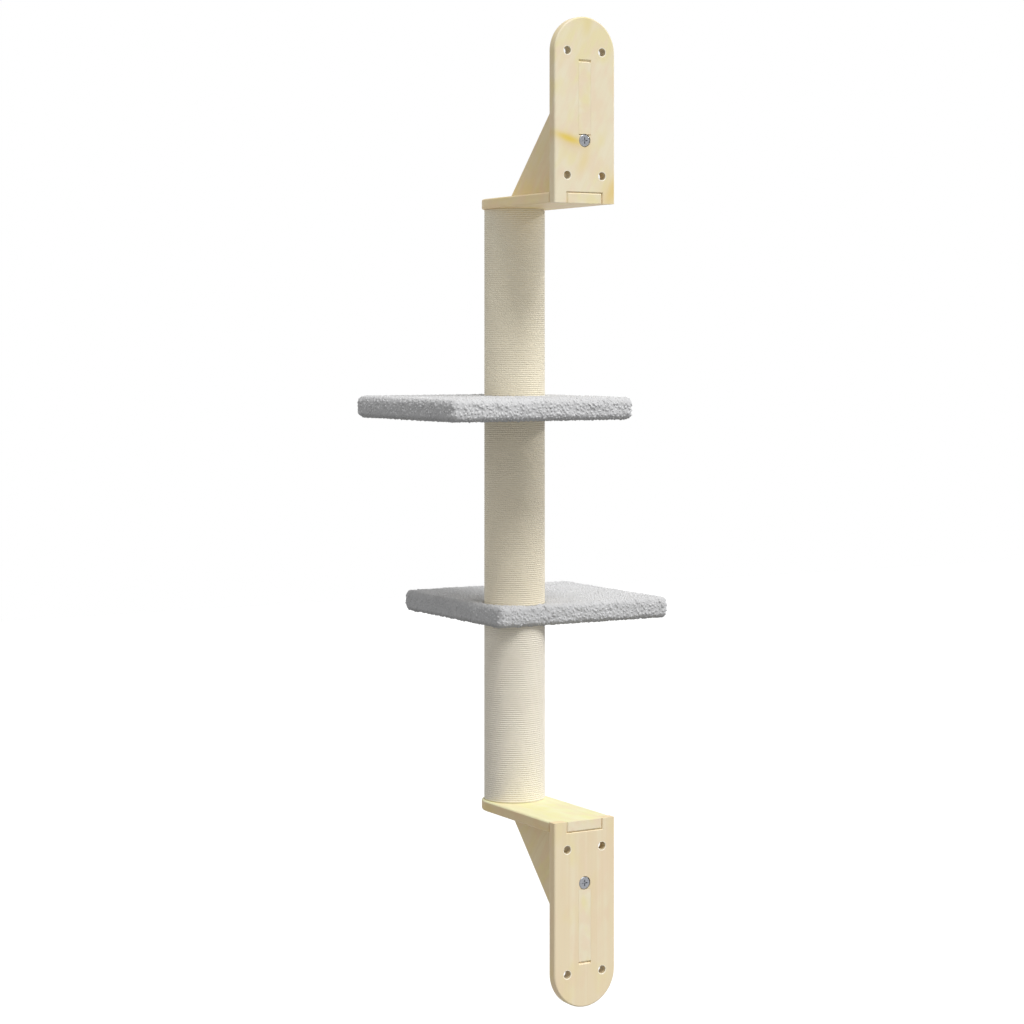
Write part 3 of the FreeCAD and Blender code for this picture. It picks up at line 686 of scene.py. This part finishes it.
def plush_finish(name, light, dark, painted_shade_faces):
    """Polyester plush: pale grey curls, with painted shade near the faces given, softly shiny."""
    material, tree, shader = new_material(name)
    point = object_point(tree)
    place = axes_of(tree, point)
    curl = noise(tree, point, scale=420.0, detail=3.0, roughness=0.6)
    tone = mixed(tree, grey_ramp(tree, curl, ((0.30, 0.0), (0.68, 1.0))), dark, light)
    shade = between(tree, noise(tree, point, scale=34.0), low=0.92, high=1.08)
    for axis, face, face_tone in painted_shade_faces:
        depth = maths(tree, "ABSOLUTE", maths(tree, "SUBTRACT", place[axis], face))
        near = add(tree, "ShaderNodeMapRange", {"interpolation_type": "SMOOTHSTEP"},
                   {"Value": depth, "From Min": PAINTED_SHADE_FROM, "From Max": PAINTED_SHADE_TO,
                    "To Min": face_tone, "To Max": 1.0})
        shade = maths(tree, "MULTIPLY", shade, near.outputs["Result"])
    tree.links.new(shaded(tree, tone, shade), shader.inputs["Base Color"])
    fluff = noise(tree, point, scale=1900.0, detail=3.0, roughness=0.7)
    tree.links.new(bump(tree, fluff, distance=0.0003, strength=0.35), shader.inputs["Normal"])
    shader.inputs["Roughness"].default_value = 0.95
    shader.inputs["Specular IOR Level"].default_value = 0.12
    shader.inputs["Sheen Weight"].default_value = 0.10
    return material


def curl_mesh(name, turn, rise, lean):
    """One curl of the pile: a fat tapered strand that rises from the backing and bends over."""
    shape = bmesh.new()
    rings = []
    for step, width in enumerate(CURL_WIDTHS):
        part = step / (len(CURL_WIDTHS) - 1)
        angle = turn * (part - 0.5)
        arch = math.pi * (ARCH_START + ARCH_LENGTH * part)
        centre = Vector((CURL_REACH * (math.cos(angle) - 0.5),
                         CURL_REACH * math.sin(angle) + lean * part,
                         rise * math.sin(arch) - CURL_WIDTH * CURL_SUNK))
        ring = []
        for side in range(CURL_SIDES):
            spin = 2 * math.pi * side / CURL_SIDES
            offset = Vector((math.cos(spin) * math.cos(angle), math.cos(spin) * math.sin(angle),
                             math.sin(spin)))
            ring.append(shape.verts.new(centre + offset * width * CURL_WIDTH))
        rings.append(ring)
    for lower_ring, upper_ring in zip(rings, rings[1:]):
        for side in range(CURL_SIDES):
            following = (side + 1) % CURL_SIDES
            shape.faces.new((lower_ring[side], lower_ring[following],
                             upper_ring[following], upper_ring[side]))
    shape.faces.new(rings[-1])
    shape.faces.new(list(reversed(rings[0])))
    bmesh.ops.recalc_face_normals(shape, faces=shape.faces)
    for face in shape.faces:
        face.smooth = True
    mesh = bpy.data.meshes.new(name)
    shape.to_mesh(mesh)
    shape.free()
    return mesh


def curl_set():
    """A hidden collection of curls that differ in turn, height and lean."""
    kinds = bpy.data.collections.new("plush_curls")
    for index, (turn, rise, lean) in enumerate(CURL_KINDS):
        mesh = curl_mesh("plush_curl_%d" % index, turn, PILE_HEIGHT * rise, PILE_HEIGHT * lean)
        kinds.objects.link(bpy.data.objects.new(mesh.name, mesh))
    return kinds


def pile_tree(kinds, material, sizes):
    """Curls scattered over the faces of a skin that look one way, none in the post's opening.

    Facing is 1 for the faces that look up, 0 for those that look aside and -1 for those that look down.
    """
    tree, inside, outside = new_tree("grow_pile", sizes)
    where = add(tree, "GeometryNodeInputPosition").outputs["Position"]
    facing = add(tree, "GeometryNodeInputNormal").outputs["Normal"]
    axis = add(tree, "ShaderNodeCombineXYZ", None, {1: inside.outputs["Centre Y"]})
    away = add(tree, "ShaderNodeVectorMath", {"operation": "DISTANCE"},
               {0: stretched(tree, where, (1, 1, 0)), 1: axis.outputs[0]})
    clear = maths(tree, "GREATER_THAN", away.outputs["Value"], inside.outputs["Opening Radius"])
    upward = add(tree, "FunctionNodeFloatToInt", {"rounding_mode": "ROUND"},
                 {0: axes_of(tree, facing)["Z"]})
    same = add(tree, "FunctionNodeCompare", {"data_type": "INT", "operation": "EQUAL"},
               {2: upward.outputs[0], 3: inside.outputs["Facing"]})
    scatter = add(tree, "GeometryNodeDistributePointsOnFaces", {"distribute_method": "POISSON"}, {
        "Mesh": inside.outputs["Geometry"], "Selection": maths(tree, "MULTIPLY", clear, same.outputs[0]),
        "Distance Min": inside.outputs["Spacing"], "Density Max": CURL_DENSITY, "Density Factor": 1.0,
        "Seed": inside.outputs["Seed"]})
    spin = add(tree, "FunctionNodeRandomValue", {"data_type": "FLOAT_VECTOR"},
               {0: (-CURL_LEAN, -CURL_LEAN, 0.0), 1: (CURL_LEAN, CURL_LEAN, 2 * math.pi),
                "Seed": inside.outputs["Seed"]})
    turned = add(tree, "FunctionNodeRotateRotation", {"rotation_space": "LOCAL"},
                 {"Rotation": scatter.outputs["Rotation"], "Rotate By": spin.outputs[0]})
    spread = add(tree, "FunctionNodeRandomValue", {"data_type": "FLOAT"},
                 {2: CURL_SPREAD[0], 3: CURL_SPREAD[1], "Seed": inside.outputs["Seed"]})
    size = maths(tree, "MULTIPLY", spread.outputs[1], inside.outputs["Curl Size"])
    curls = add(tree, "GeometryNodeCollectionInfo", None,
                {"Collection": kinds, "Separate Children": True, "Reset Children": True})
    planted = add(tree, "GeometryNodeInstanceOnPoints", None, {
        "Points": scatter.outputs["Points"], "Instance": curls.outputs[0], "Pick Instance": True,
        "Rotation": turned.outputs[0], "Scale": size})
    end_tree(tree, outside, planted.outputs["Instances"], material)
    return tree


def lump_tree(material, sizes):
    """Soft lumps all over a skin, where the pile clumps together, lower on its level faces."""
    tree, inside, outside = new_tree("raise_lumps", sizes)
    where = add(tree, "GeometryNodeInputPosition").outputs["Position"]
    facing = add(tree, "GeometryNodeInputNormal").outputs["Normal"]
    cloud = noise(tree, where, inside.outputs["Scale"], detail=1.0)
    lump = between(tree, cloud, low=-1.0, high=1.0)
    levelness = maths(tree, "ABSOLUTE", axes_of(tree, facing)["Z"])
    calm = maths(tree, "MULTIPLY_ADD", levelness, inside.outputs["Level Share"], 1.0)
    rise = maths(tree, "MULTIPLY", maths(tree, "MULTIPLY", lump, inside.outputs["Height"]), calm)
    offset = add(tree, "ShaderNodeVectorMath", {"operation": "SCALE"}, {0: facing, "Scale": rise})
    raised = add(tree, "GeometryNodeSetPosition", None,
                 {"Geometry": inside.outputs["Geometry"], "Offset": offset.outputs[0]})
    end_tree(tree, outside, raised.outputs["Geometry"], material)
    return tree


def mesh_object(name, shape):
    """A new object in the scene that holds a finished bmesh."""
    mesh = bpy.data.meshes.new(name)
    shape.to_mesh(mesh)
    shape.free()
    made = bpy.data.objects.new(name, mesh)
    bpy.context.scene.collection.objects.link(made)
    return made


def rounded_slab(name, low, high):
    """The tight cover as a slab half a pile inside a box, with all its corners and edges rounded."""
    shape = bmesh.new()
    size = high - low - Vector((PILE_HEIGHT,) * 3)
    bmesh.ops.create_cube(shape, size=1.0)
    bmesh.ops.scale(shape, vec=size, verts=shape.verts)
    bmesh.ops.translate(shape, vec=(low + high) / 2, verts=shape.verts)
    upright = [edge for edge in shape.edges
               if abs(edge.verts[0].co.z - edge.verts[1].co.z) > size.z / 2]
    bmesh.ops.bevel(shape, geom=upright, offset=CORNER_ROUNDING, segments=ROUNDING_STEPS,
                    affect="EDGES", profile=0.5)
    level = [edge for edge in shape.edges
             if abs(edge.verts[0].co.z - edge.verts[1].co.z) < MERGE_DISTANCE
             and len(edge.link_faces) == 2 and edge.calc_face_angle(0) > RIM_ANGLE]
    bmesh.ops.bevel(shape, geom=level, offset=EDGE_ROUNDING, segments=ROUNDING_STEPS,
                    affect="EDGES", profile=0.5)
    return mesh_object(name, shape)


def opening_punch(name, cover, board, post):
    """Two discs that cut the post's openings out of the plush above and below the board."""
    cover_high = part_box(cover)[1]
    board_low, board_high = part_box(board)
    post_low, post_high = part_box(post)
    post_y = (post_low.y + post_high.y) / 2
    radius = (post_high.x - post_low.x) / 2 + OPENING_CLEARANCE
    depth = cover_high.z - board_high.z
    shape = bmesh.new()
    above = board_high.z + depth / 2 + PUNCH_PAST / 2
    beneath = board_low.z - depth / 2 - PUNCH_PAST / 2
    for centre_z in (above, beneath):
        bmesh.ops.create_cone(shape, cap_ends=True, segments=OPENING_SIDES, radius1=radius,
                              radius2=radius, depth=depth + PUNCH_PAST,
                              matrix=Matrix.Translation((0, post_y, centre_z)))
    return mesh_object(name, shape)


def cover_skin(name, cover, board, post, material):
    """The cover's backing: the CAD cover's outside, evenly meshed and lumpy, with the post's openings."""
    piece = rounded_slab(name, *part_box(cover))
    punch = opening_punch(name + "_punch", cover, board, post)
    cut = piece.modifiers.new("openings", "BOOLEAN")
    cut.object = punch
    cut.operation = "DIFFERENCE"
    cut.solver = "EXACT"
    evened = piece.modifiers.new("even", "REMESH")
    evened.mode = "VOXEL"
    evened.voxel_size = SKIN_VOXEL
    evened.use_smooth_shade = True
    lump_sizes = {"Height": LUMP_HEIGHT, "Scale": LUMP_SCALE, "Level Share": -LUMP_CALM}
    run_tree(piece, lump_tree(material, lump_sizes), lump_sizes)
    make_plain(piece)
    bpy.data.objects.remove(punch)
    return piece


finish_nodes(chipboard, "upper_platform_board", "lower_platform_board")
curl_kinds = curl_set()
post = "middle_post_cord"
post_low, post_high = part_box(post)
for order, level in enumerate(("upper", "lower")):
    cover = level + "_platform_cover"
    cover_low, cover_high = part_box(cover)
    # Painted shade near the cover's underside, outer side and wall side.
    painted_shade_faces = (("Z", cover_low.z, UNDERSIDE_PAINTED_SHADE),
                 ("X", cover_high.x, OUTER_SIDE_PAINTED_SHADES[level]),
                 ("Y", cover_high.y, WALL_SIDE_PAINTED_SHADES[level]))
    backing = plush_finish(level + "_plush_backing", PLUSH_DARK, PLUSH_BACKING, painted_shade_faces)
    pile = plush_finish(level + "_plush_pile", PLUSH_LIGHT, PLUSH_DARK, painted_shade_faces)
    skin = cover_skin(level + "_plush_backing", cover, level + "_platform_board", post, backing)
    for facing, label in ((1, "top"), (0, "edge"), (-1, "underside")):
        pile_sizes = {
            "Spacing": CURL_SPACINGS[label],
            "Curl Size": CURL_SIZES[label],
            "Opening Radius": (post_high.x - post_low.x) / 2 + PILE_CLEARANCE,
            "Centre Y": (post_low.y + post_high.y) / 2,
            "Facing": facing,
            "Seed": 7 * order + facing + 2}
        pile_on = pile_tree(curl_kinds, pile, pile_sizes)
        tufts = grown(level + "_plush_" + label, pile_on, pile_sizes, skin.data.copy())
        hand_over(tufts, "plush", cover)
    hand_over(skin, "plush", cover)


# ---------------------------------------------------------------------------------------------
# Studio: a pale floor well below the object, white surroundings, and two distant soft lamps: a
# large one high in front of the object's wall side, and a weaker one low at its far side.
# ---------------------------------------------------------------------------------------------

FLOOR_DROP = 0.62
FLOOR_SIZE = 9.0
FLOOR_SHADE = (0.30, 0.30, 0.30, 1)
FLOOR_GLOW = 0.75
WHITE = (1, 1, 1, 1)
WORLD_LIGHT = 0.50
KEY_DIRECTION = (-0.067, 0.545, 0.836)
KEY_SPREAD = 30.0            # degrees
KEY_STRENGTH = 2.34
SIDE_DIRECTION = (-0.876, 0.341, 0.342)
SIDE_SPREAD = 6.0            # degrees
SIDE_STRENGTH = 0.62
LAMP_DISTANCE = 3.0

scene = bpy.context.scene
scene.view_settings.view_transform = "Standard"
centre = (Vector(cad_box[0]) + Vector(cad_box[1])) / 2


def only_seen(tree):
    """1 for what the camera sees, straight, mirrored or through something, and 0 for light."""
    ray = add(tree, "ShaderNodeLightPath").outputs
    indirect = maths(tree, "MAXIMUM", ray["Is Glossy Ray"], ray["Is Transmission Ray"])
    return maths(tree, "MAXIMUM", ray["Is Camera Ray"], indirect)


def lamp(name, direction, spread, strength):
    """A distant soft lamp that shines from a direction, as wide in the sky as its spread."""
    light = bpy.data.lights.new(name, "SUN")
    light.angle = math.radians(spread)
    light.energy = strength
    made = bpy.data.objects.new(name, light)
    way = Vector(direction).normalized()
    made.location = centre + way * LAMP_DISTANCE
    made.rotation_euler = way.to_track_quat("Z", "Y").to_euler()
    scene.collection.objects.link(made)


floor_shape = bmesh.new()
bmesh.ops.create_grid(floor_shape, x_segments=8, y_segments=8, size=FLOOR_SIZE)
floor = mesh_object("floor", floor_shape)
floor.location = (centre.x, centre.y, cad_box[0][2] - FLOOR_DROP)
floor_material, tree, shader = new_material("pale_floor")
shader.inputs["Base Color"].default_value = FLOOR_SHADE
shader.inputs["Roughness"].default_value = 0.9
glow_strength = maths(tree, "MULTIPLY", only_seen(tree), FLOOR_GLOW)
glow = add(tree, "ShaderNodeEmission", None, {"Color": WHITE, "Strength": glow_strength})
together = add(tree, "ShaderNodeAddShader", None, {0: shader.outputs[0], 1: glow.outputs[0]})
tree.links.new(together.outputs[0], tree.nodes["Material Output"].inputs["Surface"])
floor.data.materials.append(floor_material)

world = bpy.data.worlds.new("studio")
scene.world = world
world.use_nodes = True
tree = world.node_tree
brightness = between(tree, only_seen(tree), low=WORLD_LIGHT, high=1.0)
background = tree.nodes["Background"]
background.inputs["Color"].default_value = WHITE
tree.links.new(brightness, background.inputs["Strength"])

lamp("key_lamp", KEY_DIRECTION, KEY_SPREAD, KEY_STRENGTH)
lamp("side_lamp", SIDE_DIRECTION, SIDE_SPREAD, SIDE_STRENGTH)


# ---------------------------------------------------------------------------------------------
# Camera: level, at the photograph's angle and distance. Its frame is shifted down as the
# photograph's is, so that upright edges stay upright.
# ---------------------------------------------------------------------------------------------

PHOTO_WIDTH = 1024           # pixels
PHOTO_FOCAL = 2402.6         # pixels
PHOTO_HORIZON = 344.9        # pixel row of the camera's own height
CAMERA_TURN = 30.376         # degrees from the wall's normal
CAMERA_PLACE = (1.4387, 2.2925, 0.6364)
SENSOR_WIDTH = 36.0          # millimetres
VIEW_LIMIT = 50.0

lens = bpy.data.cameras.new("photo_camera")
lens.sensor_width = SENSOR_WIDTH
lens.lens = SENSOR_WIDTH * PHOTO_FOCAL / PHOTO_WIDTH
lens.shift_y = (PHOTO_HORIZON - PHOTO_WIDTH / 2) / PHOTO_WIDTH
lens.clip_end = VIEW_LIMIT
camera = bpy.data.objects.new("photo_camera", lens)
camera.location = CAMERA_PLACE
camera.rotation_euler = Euler((math.radians(90), 0, math.radians(180 - CAMERA_TURN)))
scene.collection.objects.link(camera)
scene.camera = camera
